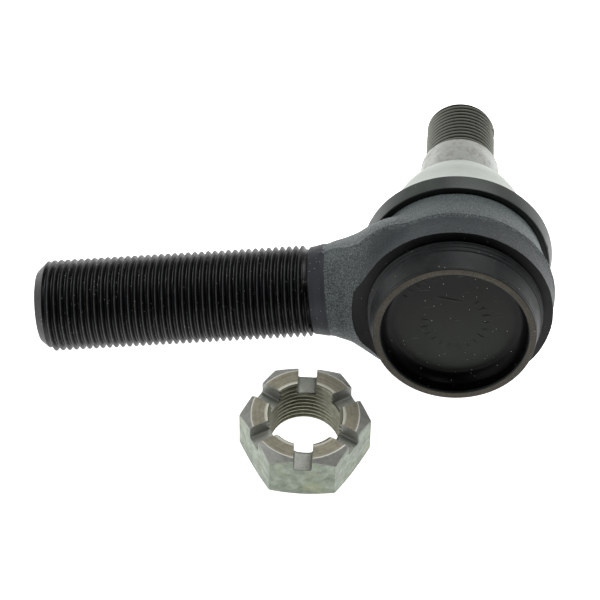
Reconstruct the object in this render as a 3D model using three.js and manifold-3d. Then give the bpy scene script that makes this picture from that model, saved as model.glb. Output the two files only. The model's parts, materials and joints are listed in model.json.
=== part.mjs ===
// A heavy-duty tie rod end and its castle nut, lying on a bench.
//
// The joint is drawn in its own axes first: the eye axis is Z and the ball stud points along +Z,
// the threaded shank runs along -X, and the two axes cross at the origin. The finished joint is
// then laid down on the level bench, where it rests on the boot's clamp ring, the shank's end and
// the stud's tip. Everything is in millimetres.

import * as THREE from 'three';
import { mergeVertices } from 'three/addons/utils/BufferGeometryUtils.js';
import Module from 'manifold-3d';

const wasm = await Module();
wasm.setup();

// ---------------------------------------------------------------- driving dimensions

const INCH = 25.4;
const GAP = 0.3;            // running gap between two separate faceted pieces
const ROUND = 36;           // facets round a turned surface
const ROUND_EYE = 48;       // facets round the eye, the largest turned surface
const THREAD_STEPS = 18;    // facets in one turn of a thread

const shank = {             // 1 1/8-12 thread, left hand
  end: 130.3,
  threadStart: 44.8,
  crest: 14.2,
  root: 12.9,
  pitch: INCH / 12,
  tip: 11.2,
  chamfer: 3.4,
};

// Neck between the thread and the eye: distance from the eye axis, half width, the height of the
// widest point, top and bottom. The widest point sinks to the eye's die parting line.
const neckSections = [
  [46.5, 12.6, 0, 12.6, -12.6],
  [44.8, 12.6, 0, 12.6, -12.6],
  [44.7, 13.6, 0, 13.6, -13.6],
  [42.6, 14.3, 0, 14.3, -14.3],
  [38.0, 14.8, -0.3, 14.5, -14.6],
  [33.5, 16.4, -1.5, 14.5, -15.0],
  [28.6, 19.5, -3.5, 14.3, -15.8],
  [23.5, 23.3, -5.0, 14.0, -16.0],
  [17.0, 26.2, -5.6, 13.7, -16.0],
  [8.0, 27.2, -5.8, 13.5, -16.0],
];

const eye = {
  radius: 30,
  parting: -5.8,            // height of the die parting line, the widest section
  shoulder: -14.8,          // turned shoulder round the crimp sleeve
  shoulderRadius: 31.5,     // reach of the turning tool, seen where it bites into the neck
  top: 9.5,
  topRadius: 26.6,
  bootSeat: 23.5,           // turned spigot that the boot is stretched over
  bootSeatTop: 14.6,
};

const sleeve = {            // thin wall that is rolled in over the cover plate
  rim: -26.3,
  rimRadius: 24.8,
  rootRadius: 26.8,
  bore: 23,
  lipBore: 22.4,
  lip: 1.0,
};

const ball = { radius: 16.5, centre: 4.5, flat: 5 };
const socket = { radius: ball.radius + GAP, bore: 20.8, mouth: 15.4 };

const stud = {              // 1:8 taper and a 7/8-14 thread, right hand
  neck: 9.4,
  taperStart: 35.6,
  taperEnd: 60,
  taperEndRadius: 12.5,
  threadStart: 60.8,
  end: 85,
  crest: 11.05,
  root: 9.95,
  pitch: INCH / 14,
  tip: 8.9,
  pinHole: { radius: 2.2, height: 79.5 },
};
const taperLarge = stud.taperEndRadius + (stud.taperEnd - stud.taperStart) / 16;

const cover = { face: -19.8, thickness: 2.8, radius: sleeve.bore - GAP };
const coverInside = cover.face + cover.thickness;
const cupBottom = -14.5;

const clampRing = { inner: 28.2, lower: 28.7, upper: 29.7, bottom: 9.5, top: 14.9 };
const neckRing = { inner: 14.15, outer: 15.35, bottom: 40.6, top: 41.8 };

const nut = {               // 7/8-14 slotted nut
  acrossFlats: 34.9,
  height: 17.9,
  slots: 6,
  slotWidth: 5.7,
  slotDepth: 4.95,
  faceRadius: 16.6,
  cornerHeight: 15.6,
  crest: 11.7,
  root: 10.7,
  turn: -1.2,               // degrees
  x: -45.2,                 // centre on the bench, from the foot of the eye axis
  y: -41,
};

// Boot outline, outside then inside, as radius and height.
const bootOutside = [
  [27.8, 10.0],
  [27.8, 14.4],
  [27.0, 15.2],
  [25.0, 20.0],
  [23.2, 25.0],
  [21.9, 29.0],
  [21.1, 32.2],
  [20.3, 35.0],
  [19.1, 38.2],
  [17.3, 41.2],
  [15.4, 43.8],
  [13.9, 45.2],
];
const bootInside = [
  [14.05, 42.2],
  [15.7, 42.2],
  [15.7, 40.3],
  [18.2, 35.4],
  [19.0, 32.0],
  [21.3, 25.0],
  [23.1, 20.0],
  [23.9, 15.0],
  [23.9, 10.0],
];

// ---------------------------------------------------------------- meshes and solids

// Merges the vertices that coincide, drops flattened triangles and turns the faces outwards.
function closedMesh(geometry) {
  const bare = geometry.clone();
  bare.deleteAttribute('normal');
  bare.deleteAttribute('uv');
  const merged = mergeVertices(bare, 1e-4);
  const position = merged.getAttribute('position');
  const corners = [new THREE.Vector3(), new THREE.Vector3(), new THREE.Vector3()];
  const triangles = [];
  let volume = 0;
  for (let i = 0; i < merged.index.count; i += 3) {
    const [a, b, c] = [0, 1, 2].map((k) => merged.index.getX(i + k));
    if (a === b || b === c || c === a) continue;
    triangles.push([a, b, c]);
    [a, b, c].forEach((vertex, k) => corners[k].fromBufferAttribute(position, vertex));
    volume += corners[0].dot(corners[1].cross(corners[2]));
  }
  if (volume < 0) triangles.forEach((triangle) => triangle.reverse());
  merged.setIndex(triangles.flat());
  return merged;
}

function solid(geometry) {
  const mesh = closedMesh(geometry);
  return new wasm.Manifold(new wasm.Mesh({
    numProp: 3,
    vertProperties: new Float32Array(mesh.getAttribute('position').array),
    triVerts: new Uint32Array(mesh.index.array),
  }));
}

function geometryOf(body) {
  const mesh = body.getMesh();
  const geometry = new THREE.BufferGeometry();
  geometry.setAttribute('position', new THREE.BufferAttribute(new Float32Array(mesh.vertProperties), 3));
  geometry.setIndex(new THREE.BufferAttribute(new Uint32Array(mesh.triVerts), 1));
  return geometry;
}

// Turns an outline of [radius, height] points about Z. It starts and ends on the axis or closes.
function turned(outline, facets = ROUND) {
  const points = outline.map(([radius, height]) => new THREE.Vector2(radius, height));
  return new THREE.LatheGeometry(points, facets).rotateX(Math.PI / 2);
}

function turnedRing(outline, facets = ROUND) {
  return turned([...outline, outline[0]], facets);
}

function cylinder(radius, bottom, top, facets = ROUND) {
  return turned([[0, bottom], [radius, bottom], [radius, top], [0, top]], facets);
}

function box(x, y, z) {
  return new THREE.BoxGeometry(x, y, z);
}

// Points of an arc about (0, centre), as radius and height, between two angles from the +Z axis.
function ballArc(radius, centre, fromAngle, toAngle, steps) {
  return Array.from({ length: steps + 1 }, (_, i) => {
    const angle = fromAngle + ((toAngle - fromAngle) * i) / steps;
    return [radius * Math.sin(angle), centre + radius * Math.cos(angle)];
  });
}

// A rod along Z with a helical V thread. It runs a pitch past both ends, to be trimmed afterwards.
function threadedRod({ crest, root, pitch, from, to, leftHand = false }) {
  const turn = (leftHand ? -2 : 2) * Math.PI;
  const bottom = from - 2 * pitch;
  const bands = 2 * Math.ceil((to - bottom) / pitch);
  const point = (row, step) => {
    const radius = row % 2 ? root : crest;
    const angle = (turn * step) / THREAD_STEPS;
    const height = bottom + pitch * (row / 2 + step / THREAD_STEPS);
    return [radius * Math.cos(angle), radius * Math.sin(angle), height];
  };
  const lowEnd = [0, 0, bottom - pitch];
  const highEnd = [0, 0, bottom + pitch * (bands / 2 + 2)];
  const corners = [];
  for (let step = 0; step < THREAD_STEPS; step += 1) {
    for (let row = 0; row < bands; row += 1) {
      const [a, b] = [point(row, step), point(row, step + 1)];
      const [c, d] = [point(row + 1, step + 1), point(row + 1, step)];
      corners.push(a, b, c, a, c, d);
    }
    corners.push(lowEnd, point(0, step + 1), point(0, step));
    corners.push(highEnd, point(bands, step), point(bands, step + 1));
  }
  for (const row of [0, 1]) {
    corners.push(lowEnd, point(row, 0), point(row + 1, 0));
    corners.push(highEnd, point(bands + row + 1, 0), point(bands + row, 0));
  }
  const geometry = new THREE.BufferGeometry();
  geometry.setAttribute('position', new THREE.Float32BufferAttribute(corners.flat(), 3));
  return geometry;
}

// A closed skin along -X through ovals [distance, half width, height of widest point, top, bottom].
function ovalLoft(sections, facets = 32) {
  const point = ([distance, halfWidth, widest, top, bottom], step) => {
    const angle = (2 * Math.PI * step) / facets;
    const reach = Math.sin(angle) > 0 ? top - widest : widest - bottom;
    return [-distance, halfWidth * Math.cos(angle), widest + reach * Math.sin(angle)];
  };
  const first = sections[0];
  const last = sections[sections.length - 1];
  const corners = [];
  for (let step = 0; step < facets; step += 1) {
    for (let i = 0; i + 1 < sections.length; i += 1) {
      const [a, b] = [point(sections[i], step), point(sections[i], step + 1)];
      const [c, d] = [point(sections[i + 1], step + 1), point(sections[i + 1], step)];
      corners.push(a, c, b, a, d, c);
    }
    corners.push([-first[0], 0, 0], point(first, step), point(first, step + 1));
    corners.push([-last[0], 0, 0], point(last, step + 1), point(last, step));
  }
  const geometry = new THREE.BufferGeometry();
  geometry.setAttribute('position', new THREE.Float32BufferAttribute(corners.flat(), 3));
  return geometry;
}

function piece(name, geometry, color, roughness, metalness) {
  const material = new THREE.MeshStandardMaterial({ color, roughness, metalness });
  const mesh = new THREE.Mesh(closedMesh(geometry), material);
  mesh.name = name;
  return mesh;
}

// ---------------------------------------------------------------- housing

function shankThread() {
  const { end, threadStart, crest, tip, chamfer } = shank;
  const clear = crest + 1;
  const slope = (crest - tip) / chamfer;
  const envelope = turned([
    [0, threadStart],
    [clear, threadStart],
    [clear, end - (clear - tip) / slope],
    [tip, end],
    [0, end],
  ], THREAD_STEPS * 2);
  const rod = threadedRod({ ...shank, from: threadStart, to: end, leftHand: true });
  return solid(rod).intersect(solid(envelope)).rotate([0, -90, 0]);
}

function eyeForging() {
  const { radius, parting, top, topRadius } = eye;
  return solid(turned([
    [0, sleeve.rim],
    [radius - 0.2, sleeve.rim],
    [radius, parting],
    [topRadius, top],
    [0, top],
  ], ROUND_EYE));
}

// Everything the lathe takes away round the sleeve and above the eye.
function turningCuts() {
  const below = solid(cylinder(eye.shoulderRadius, sleeve.rim - 20, eye.shoulder, ROUND_EYE));
  const above = solid(cylinder(eye.radius + 2, eye.top, eye.top + 20, ROUND_EYE));
  return below.add(above);
}

function turnedEnds() {
  const crimpSleeve = solid(turned([
    [0, sleeve.rim],
    [sleeve.rimRadius, sleeve.rim],
    [sleeve.rootRadius, eye.shoulder - 3],
    [sleeve.rootRadius, eye.shoulder + 1],
    [0, eye.shoulder + 1],
  ], ROUND_EYE));
  const bootSpigot = solid(cylinder(eye.bootSeat, eye.top - 1, eye.bootSeatTop, ROUND_EYE));
  return crimpSleeve.add(bootSpigot);
}

// The bore, from the open rim up through the socket to the mouth that keeps the ball in.
function housingBore() {
  const coneTop = ball.centre + 8.8;
  return solid(turned([
    [0, sleeve.rim - 1],
    [sleeve.lipBore, sleeve.rim - 1],
    [sleeve.lipBore, sleeve.rim + sleeve.lip],
    [sleeve.bore, sleeve.rim + sleeve.lip],
    [sleeve.bore, cupBottom],
    [socket.bore, cupBottom],
    [socket.bore, ball.centre + 3.7],
    [socket.bore - 3.5, coneTop],
    [socket.mouth, coneTop],
    [socket.mouth, eye.bootSeatTop - 0.5],
    [socket.mouth + 1.5, eye.bootSeatTop + 1],
    [0, eye.bootSeatTop + 1],
  ]));
}

function housing() {
  return geometryOf(
    eyeForging()
      .add(solid(ovalLoft(neckSections)))
      .subtract(turningCuts())
      .add(turnedEnds())
      .subtract(housingBore())
      .add(shankThread()),
  );
}

// ---------------------------------------------------------------- ball stud and its bearings

function ballStud() {
  const { neck, taperStart, taperEnd, taperEndRadius, threadStart, end, crest, tip } = stud;
  const flatAngle = Math.PI - Math.asin(ball.flat / ball.radius);
  const neckAngle = Math.asin((neck + 0.9) / ball.radius);
  const blank = solid(turned([
    [0, ball.centre + ball.radius * Math.cos(flatAngle)],
    ...ballArc(ball.radius, ball.centre, flatAngle, neckAngle, 10),
    [neck + 0.2, 18.0],
    [neck, 19.8],
    [neck, 25.5],
    [neck + 1, 29.6],
    [taperLarge - 0.4, 35.1],
    [taperLarge, taperStart],
    [taperEndRadius, taperEnd],
    [stud.root - 0.2, threadStart],
    [stud.root - 0.2, threadStart + 3],
    [0, threadStart + 3],
  ]));
  const clear = crest + 1;
  const envelope = solid(turned([
    [0, threadStart - 0.4],
    [clear, threadStart - 0.4],
    [clear, end - (clear - tip)],
    [tip, end],
    [0, end],
  ], THREAD_STEPS * 2));
  const thread = solid(threadedRod({ ...stud, from: threadStart, to: end })).intersect(envelope);
  const { radius, height } = stud.pinHole;
  const pinHole = solid(cylinder(radius, -20, 20, 16).rotateY(Math.PI / 2).translate(0, 0, height));
  return geometryOf(blank.add(thread).subtract(pinHole));
}

// Half shell between the ball's upper side and the housing.
function upperBearingShell() {
  const outer = socket.bore - GAP;
  const low = ball.centre + GAP;
  const height = 8;
  const high = ball.centre + height;
  const fromAngle = Math.acos(height / socket.radius);
  const toAngle = Math.acos(GAP / socket.radius);
  return turnedRing([
    ...ballArc(socket.radius, ball.centre, fromAngle, toAngle, 5),
    [outer, low],
    [outer, ball.centre + 3.5],
    [outer - 3.3, high],
  ]);
}

// Cup under the ball, pushed up by the spring. The hole in its floor lets grease through.
function lowerBearingCup() {
  const outer = socket.bore - GAP;
  const greaseHole = 3;
  const fromAngle = Math.acos(-GAP / socket.radius);
  const toAngle = Math.PI - Math.asin(greaseHole / socket.radius);
  return turnedRing([
    ...ballArc(socket.radius, ball.centre, fromAngle, toAngle, 7),
    [greaseHole, cupBottom],
    [16.5, cupBottom],
    [outer, cupBottom + 4],
    [outer, ball.centre - GAP],
  ]);
}

// Coned disc spring between the cup and the cover plate.
function preloadSpring() {
  const [inner, outer, thickness] = [6.5, 15, 1];
  const bottom = coverInside + GAP;
  const top = cupBottom - GAP;
  return turnedRing([
    [inner, top - thickness],
    [outer, bottom],
    [outer, bottom + thickness],
    [inner, top],
  ]);
}

// ---------------------------------------------------------------- cover, seal, boot and rings

// Pressed dish: a flat face, a rounded corner and a skirt that the sleeve's lip holds.
function coverPlate() {
  const { face, radius } = cover;
  const skirtEnd = sleeve.rim + sleeve.lip + GAP;
  return turned([
    [0, face],
    [radius - 3.4, face],
    [radius - 2.1, face - 0.4],
    [radius - 1.2, face - 1.3],
    [radius - 0.7, skirtEnd],
    [radius, skirtEnd],
    [radius, coverInside - 0.8],
    [radius - 0.8, coverInside],
    [0, coverInside],
  ], ROUND_EYE);
}

function coverSealRing() {
  const [inner, outer] = [21.3, sleeve.bore - GAP];
  const bottom = coverInside + GAP;
  const top = cupBottom - GAP;
  const corner = 0.5;
  return turnedRing([
    [inner + corner, bottom],
    [outer - corner, bottom],
    [outer, bottom + corner],
    [outer, top - corner],
    [outer - corner, top],
    [inner + corner, top],
    [inner, top - corner],
    [inner, bottom + corner],
  ]);
}

function dustBoot() {
  return turnedRing([...bootOutside, ...bootInside]);
}

function bootClampRing() {
  const { inner, lower, upper, bottom, top } = clampRing;
  return turnedRing([[inner, bottom], [lower, bottom], [upper, top], [inner, top]], ROUND_EYE);
}

function bootNeckRing() {
  const { inner, outer, bottom, top } = neckRing;
  return turnedRing([[inner, bottom], [outer, bottom], [outer, top], [inner, top]]);
}

// ---------------------------------------------------------------- castle nut

function castleNut() {
  const { acrossFlats, height, slots, slotWidth, slotDepth, faceRadius, cornerHeight } = nut;
  const corner = acrossFlats / 2 / Math.cos(Math.PI / 6);
  const bearingChamfer = 1.2;
  const hexagon = solid(cylinder(corner, 0, height, 6).rotateZ(Math.PI / 6));
  const bevels = solid(turned([
    [0, 0],
    [corner - 2 * bearingChamfer, 0],
    [corner, bearingChamfer],
    [corner, cornerHeight],
    [faceRadius, height],
    [0, height],
  ]));
  let body = hexagon.intersect(bevels);
  for (let i = 0; i < slots / 2; i += 1) {
    const slot = box(slotWidth, 3 * corner, 2 * slotDepth)
      .translate(0, 0, height)
      .rotateZ((i * 2 * Math.PI) / slots);
    body = body.subtract(solid(slot));
  }
  const { crest, root } = nut;
  const tap = threadedRod({ crest, root, pitch: stud.pitch, from: -1, to: height + 1 });
  const countersinks = turned([
    [0, -1],
    [crest + 1.4, -1],
    [root - 0.6, 1.4],
    [root - 0.6, height - 1.2],
    [crest + 0.8, height + 1],
    [0, height + 1],
  ]);
  return geometryOf(body.subtract(solid(tap)).subtract(solid(countersinks)));
}

// ---------------------------------------------------------------- laying it on the bench

// The stud dips so that its thread and the clamp ring touch the bench together, and the shank
// dips until its end does. The bench normal follows from the two dips.
function lieDown(joint) {
  const studDip = Math.atan2(clampRing.upper - stud.crest, stud.end - clampRing.top);
  const height = clampRing.top * Math.sin(studDip) + clampRing.upper * Math.cos(studDip);
  const shankReach = Math.hypot(shank.end, shank.crest);
  const shankDip = Math.asin(height / shankReach) - Math.atan2(shank.crest, shank.end);
  const up = new THREE.Vector3(Math.sin(shankDip), 0, -Math.sin(studDip));
  up.y = -Math.sqrt(1 - up.lengthSq());
  const along = new THREE.Vector3(1, 0, 0).addScaledVector(up, -up.x).normalize();
  const across = new THREE.Vector3().crossVectors(up, along);
  const turn = new THREE.Matrix4().makeBasis(along, across, up).transpose();
  joint.quaternion.setFromRotationMatrix(turn);
  joint.position.z = height;
}

// Puts the origin on the bench, under the middle of the object's box.
function centreOnBench(object) {
  object.updateMatrixWorld(true);
  const bounds = new THREE.Box3().setFromObject(object, true);
  const middle = bounds.getCenter(new THREE.Vector3());
  object.position.set(-middle.x, -middle.y, -bounds.min.z);
}

const BLACK = 0x2b2d2b;
const BEARING = 0x8b8a80;

const joint = new THREE.Group();
joint.add(
  piece('housing', housing(), BLACK, 0.6, 0.5),
  piece('ball_stud', ballStud(), 0x8d918b, 0.45, 0.9),
  piece('upper_bearing_shell', upperBearingShell(), BEARING, 0.5, 0.8),
  piece('lower_bearing_cup', lowerBearingCup(), BEARING, 0.5, 0.8),
  piece('preload_spring', preloadSpring(), 0x5f6468, 0.4, 0.9),
  piece('cover_seal_ring', coverSealRing(), 0x1a1a1a, 0.8, 0),
  piece('cover_plate', coverPlate(), 0x34372f, 0.5, 0.5),
  piece('dust_boot', dustBoot(), 0xb2bab0, 0.5, 0),
  piece('boot_clamp_ring', bootClampRing(), 0x3a3f3b, 0.5, 0.2),
  piece('boot_neck_ring', bootNeckRing(), 0x70767a, 0.4, 0.9),
);
lieDown(joint);

const looseNut = piece('castle_nut', castleNut(), 0xa3a69b, 0.45, 0.9);
looseNut.position.set(nut.x, nut.y, 0);
looseNut.rotation.z = THREE.MathUtils.degToRad(nut.turn);

const tieRodEnd = new THREE.Group();
tieRodEnd.add(joint, looseNut);
centreOnBench(tieRodEnd);

export default tieRodEnd;
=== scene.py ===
import json
import math

import bmesh
import bpy
import numpy as np
from mathutils import Matrix, Quaternion, Vector, noise


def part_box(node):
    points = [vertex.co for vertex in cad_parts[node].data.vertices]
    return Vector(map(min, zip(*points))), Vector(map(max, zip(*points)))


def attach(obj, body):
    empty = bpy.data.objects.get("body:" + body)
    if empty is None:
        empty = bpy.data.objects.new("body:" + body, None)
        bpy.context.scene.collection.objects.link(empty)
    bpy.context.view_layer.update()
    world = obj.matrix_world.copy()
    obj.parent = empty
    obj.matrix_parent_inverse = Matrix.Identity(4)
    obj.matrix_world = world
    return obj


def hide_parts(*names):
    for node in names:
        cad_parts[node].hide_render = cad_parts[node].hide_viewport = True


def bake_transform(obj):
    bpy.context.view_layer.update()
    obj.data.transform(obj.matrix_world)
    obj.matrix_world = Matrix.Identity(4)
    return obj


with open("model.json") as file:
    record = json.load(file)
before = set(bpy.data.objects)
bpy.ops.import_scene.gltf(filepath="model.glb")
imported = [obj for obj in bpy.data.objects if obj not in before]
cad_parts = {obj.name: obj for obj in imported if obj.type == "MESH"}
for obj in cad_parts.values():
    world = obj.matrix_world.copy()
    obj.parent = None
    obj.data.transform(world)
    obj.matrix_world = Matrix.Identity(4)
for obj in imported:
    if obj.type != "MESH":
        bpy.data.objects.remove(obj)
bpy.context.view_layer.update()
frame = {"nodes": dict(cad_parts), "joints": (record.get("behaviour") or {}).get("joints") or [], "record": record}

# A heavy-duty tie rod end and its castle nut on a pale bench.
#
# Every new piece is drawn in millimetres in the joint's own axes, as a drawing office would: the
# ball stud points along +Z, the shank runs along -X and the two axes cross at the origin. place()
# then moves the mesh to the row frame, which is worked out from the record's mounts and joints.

MM = 0.001
INCH = 25.4

# ---------------------------------------------------------------- the joint's own axes

MOUNTS = {mount["name"]: mount for mount in frame["record"]["mounts"]}
JOINTS = {joint["name"]: joint for joint in frame["joints"]}
BALL = Vector(JOINTS["swing_direction"]["pos_m"])
STUD_AXIS = Vector(JOINTS["swing_direction"]["axis"]).normalized()
SHANK_END = Vector(MOUNTS["shank_end"]["pos_m"])
STUD_TIP = Vector(MOUNTS["stud_tip"]["pos_m"])
EYE_CENTRE = BALL - STUD_AXIS * (BALL - SHANK_END).dot(STUD_AXIS)


def joint_axes():
    """The matrix from the joint's own axes, in millimetres, to the row frame in metres."""
    x_axis = (EYE_CENTRE - SHANK_END).normalized()
    y_axis = STUD_AXIS.cross(x_axis)
    turn = Matrix((x_axis, y_axis, STUD_AXIS)).transposed().to_4x4()
    return Matrix.Translation(EYE_CENTRE) @ turn @ Matrix.Scale(MM, 4)


def nut_axes():
    """The same for the loose nut, which stands on the bench with its slots up."""
    low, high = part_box("castle_nut")
    middle = (low + high) / 2
    front = Vector(MOUNTS["nut_bearing_face"]["pos_m"]) - middle
    turn = Matrix.Rotation(math.atan2(front.x, -front.y), 4, "Z")
    return Matrix.Translation((middle.x, middle.y, low.z)) @ turn @ Matrix.Scale(MM, 4)


JOINT = joint_axes()
NUT = nut_axes()

# ---------------------------------------------------------------- driving dimensions, millimetres

SHANK_LENGTH = (EYE_CENTRE - SHANK_END).length / MM
STUD_LENGTH = (STUD_TIP - EYE_CENTRE).length / MM
BALL_HEIGHT = (BALL - EYE_CENTRE).length / MM
NUT_HEIGHT = (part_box("castle_nut")[1].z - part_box("castle_nut")[0].z) / MM

SHANK_CREST = 14.2
SHANK_ROOT = 12.9
SHANK_PITCH = INCH / 12
SHANK_THREAD_START = 44.8
SHANK_TIP = 11.2
SHANK_CHAMFER = 3.4

EYE_RADIUS = 30.0
EYE_TOP = 9.5
EYE_TOP_RADIUS = 26.6
PARTING = -5.8
SHOULDER = -14.8
SHOULDER_RADIUS = 31.5
RIM = -26.3
RIM_RADIUS = 24.8
SLEEVE_ROOT = 26.8
SLEEVE_BORE = 23.0
LIP_BORE = 22.4
SOCKET_MOUTH = 15.4
BOOT_SEAT = 23.5
BOOT_SEAT_TOP = 14.6

BALL_RADIUS = 16.5
STUD_NECK = 9.4
TAPER_START = 35.6
TAPER_END = 60.0
TAPER_END_RADIUS = 12.5
TAPER_START_RADIUS = TAPER_END_RADIUS + (TAPER_END - TAPER_START) / 16
STUD_CREST = 11.05
STUD_ROOT = 9.95
STUD_PITCH = INCH / 14
STUD_THREAD_START = 60.8
STUD_TIP_RADIUS = 8.9
PIN_HOLE_RADIUS = 2.2
PIN_HOLE_FROM_TIP = 5.5

COVER_FACE = -19.8
COVER_THICKNESS = 2.8
COVER_RADIUS = 22.7

NUT_FLATS = 34.9
NUT_SLOTS = 6
NUT_SLOT_WIDTH = 5.7
NUT_SLOT_DEPTH = 4.95
NUT_FACE_RADIUS = 16.6
NUT_CORNER_DROP = 2.3
NUT_CREST = 11.7
NUT_ROOT = 10.7

# ---------------------------------------------------------------- meshes


def mesh_object(name, points, faces):
    mesh = bpy.data.meshes.new(name)
    mesh.from_pydata([tuple(point) for point in points], [], [tuple(face) for face in faces])
    piece = bpy.data.objects.new(name, mesh)
    bpy.context.scene.collection.objects.link(piece)
    return piece


def skin(name, grid, wrap_rows=False, wrap_columns=True):
    """A skin over a grid of points. Points that coincide merge, so a row on the axis is a pole."""
    rows, columns = grid.shape[:2]
    row_count = rows if wrap_rows else rows - 1
    column_count = columns if wrap_columns else columns - 1
    row, column = np.meshgrid(np.arange(row_count), np.arange(column_count), indexing="ij")
    next_row = (row + 1) % rows
    next_column = (column + 1) % columns
    corners = [row * columns + column, row * columns + next_column]
    corners += [next_row * columns + next_column, next_row * columns + column]
    faces = np.stack([corner.ravel() for corner in corners], axis=1)
    piece = mesh_object(name, grid.reshape(-1, 3), faces)
    edit = bmesh.new()
    edit.from_mesh(piece.data)
    bmesh.ops.remove_doubles(edit, verts=edit.verts, dist=1e-4)
    bmesh.ops.recalc_face_normals(edit, faces=edit.faces)
    edit.to_mesh(piece.data)
    edit.free()
    return piece


def turned(name, outline, segments=160, ring=False):
    """Turns an outline of (radius, height) about Z. It starts and ends on the axis, or is a ring."""
    radius, height = np.array(outline, float).T
    angle = np.linspace(0, 2 * math.pi, segments, endpoint=False)
    grid = np.stack([
        np.outer(radius, np.cos(angle)),
        np.outer(radius, np.sin(angle)),
        np.outer(height, np.ones(segments)),
    ], axis=2)
    return skin(name, grid, wrap_rows=ring)


def smooth_curve(points, steps):
    """A Catmull-Rom curve through the points, with a number of steps between each two."""
    points = np.array(points, float)
    padded = np.vstack([2 * points[0] - points[1], points, 2 * points[-1] - points[-2]])
    curve = []
    for i in range(len(points) - 1):
        before, start, end, after = padded[i:i + 4]
        for t in np.linspace(0, 1, steps, endpoint=False):
            curve.append(0.5 * (
                2 * start
                + (end - before) * t
                + (2 * before - 5 * start + 4 * end - after) * t ** 2
                + (3 * start - before - 3 * end + after) * t ** 3
            ))
    curve.append(points[-1])
    return [tuple(point) for point in curve]


def arc(radius, centre, from_angle, to_angle, steps):
    """Points (radius, height) of an arc about (0, centre), angles measured from +Z."""
    return [
        (radius * math.sin(angle), centre + radius * math.cos(angle))
        for angle in np.linspace(from_angle, to_angle, steps)
    ]


def rounded(outline, radius, steps=4):
    """Rounds every inner corner of an open outline by a curve of about the given radius."""
    result = [outline[0]]
    for before, corner, after in zip(outline, outline[1:], outline[2:]):
        here = Vector(corner)
        back = Vector(before) - here
        ahead = Vector(after) - here
        reach = min(radius, back.length * 0.45, ahead.length * 0.45)
        start = here + back.normalized() * reach
        end = here + ahead.normalized() * reach
        for t in np.linspace(0, 1, steps + 1):
            point = start * (1 - t) ** 2 + here * 2 * t * (1 - t) + end * t ** 2
            result.append((point.x, point.y))
    result.append(outline[-1])
    return result


def thread_rows(crest, root, pitch, low, high):
    """Rows (height, radius) of a thread along its length: flat crests and rounded roots."""
    shape = [(-0.09, 0.94), (-0.05, 1.0), (0.05, 1.0), (0.09, 0.94), (0.4, 0.05), (0.5, 0.0),
             (0.6, 0.05)]
    turns = np.arange(math.floor(low / pitch) - 2, math.ceil(high / pitch) + 3)
    rows = [(pitch * (turn + at), root + (crest - root) * depth) for turn in turns for at, depth in shape]
    return np.array(rows).T


def threaded(name, crest, root, pitch, low, high, envelope, hand=1, segments=108):
    """A closed threaded rod along Z. The envelope gives the largest radius at each height."""
    height, radius = thread_rows(crest, root, pitch, low, high)
    turn = np.linspace(0, 1, segments + 1)
    heights = np.clip(height[:, None] + hand * pitch * turn[None, :], low, high)
    radii = np.minimum(np.repeat(radius[:, None], segments + 1, axis=1), envelope(heights))
    radii = np.where((heights <= low) | (heights >= high), envelope(heights), radii)
    angle = 2 * math.pi * turn[None, :]
    grid = np.stack([radii * np.cos(angle), radii * np.sin(angle), heights], axis=2)
    poles = [np.zeros((1, segments + 1, 3)), np.zeros((1, segments + 1, 3))]
    poles[0][:, :, 2] = low
    poles[1][:, :, 2] = high
    return skin(name, np.concatenate([poles[0], grid, poles[1]]), wrap_columns=False)


def applied(piece):
    """Replaces the piece's mesh by the result of its modifiers."""
    graph = bpy.context.evaluated_depsgraph_get()
    mesh = bpy.data.meshes.new_from_object(piece.evaluated_get(graph))
    piece.modifiers.clear()
    piece.data = mesh
    return piece


def combine(piece, tool, operation):
    """Joins or cuts a closed mesh with another one, which is used up."""
    modifier = piece.modifiers.new("combine", "BOOLEAN")
    modifier.operation = operation
    modifier.solver = "EXACT"
    modifier.object = tool
    applied(piece)
    bpy.data.objects.remove(tool)
    return piece


def points_of(piece):
    points = np.empty(len(piece.data.vertices) * 3)
    piece.data.vertices.foreach_get("co", points)
    return points.reshape(-1, 3)


def move_points(piece, points):
    piece.data.vertices.foreach_set("co", points.ravel())
    piece.data.update()


def turn_to_shank(piece):
    """Turns a piece drawn along +Z so that it runs along -X."""
    piece.data.transform(Matrix.Rotation(-math.pi / 2, 4, "Y"))
    return piece


def place(piece, axes, materials, angle=35):
    """Keeps the drawing coordinates as an attribute, moves the mesh to the row frame and shades it."""
    mesh = piece.data
    attribute = mesh.attributes.new("local", "FLOAT_VECTOR", "POINT")
    attribute.data.foreach_set("vector", points_of(piece).ravel())
    mesh.transform(axes)
    mesh.materials.clear()
    for material in materials:
        mesh.materials.append(material)
    mesh.shade_smooth()
    mesh.set_sharp_from_angle(angle=math.radians(angle))
    return piece


# ---------------------------------------------------------------- materials


def tone(red, green, blue):
    """A linear colour from display values of 0 to 255."""
    return tuple((value / 255) ** 2.2 for value in (red, green, blue)) + (1.0,)


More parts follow.
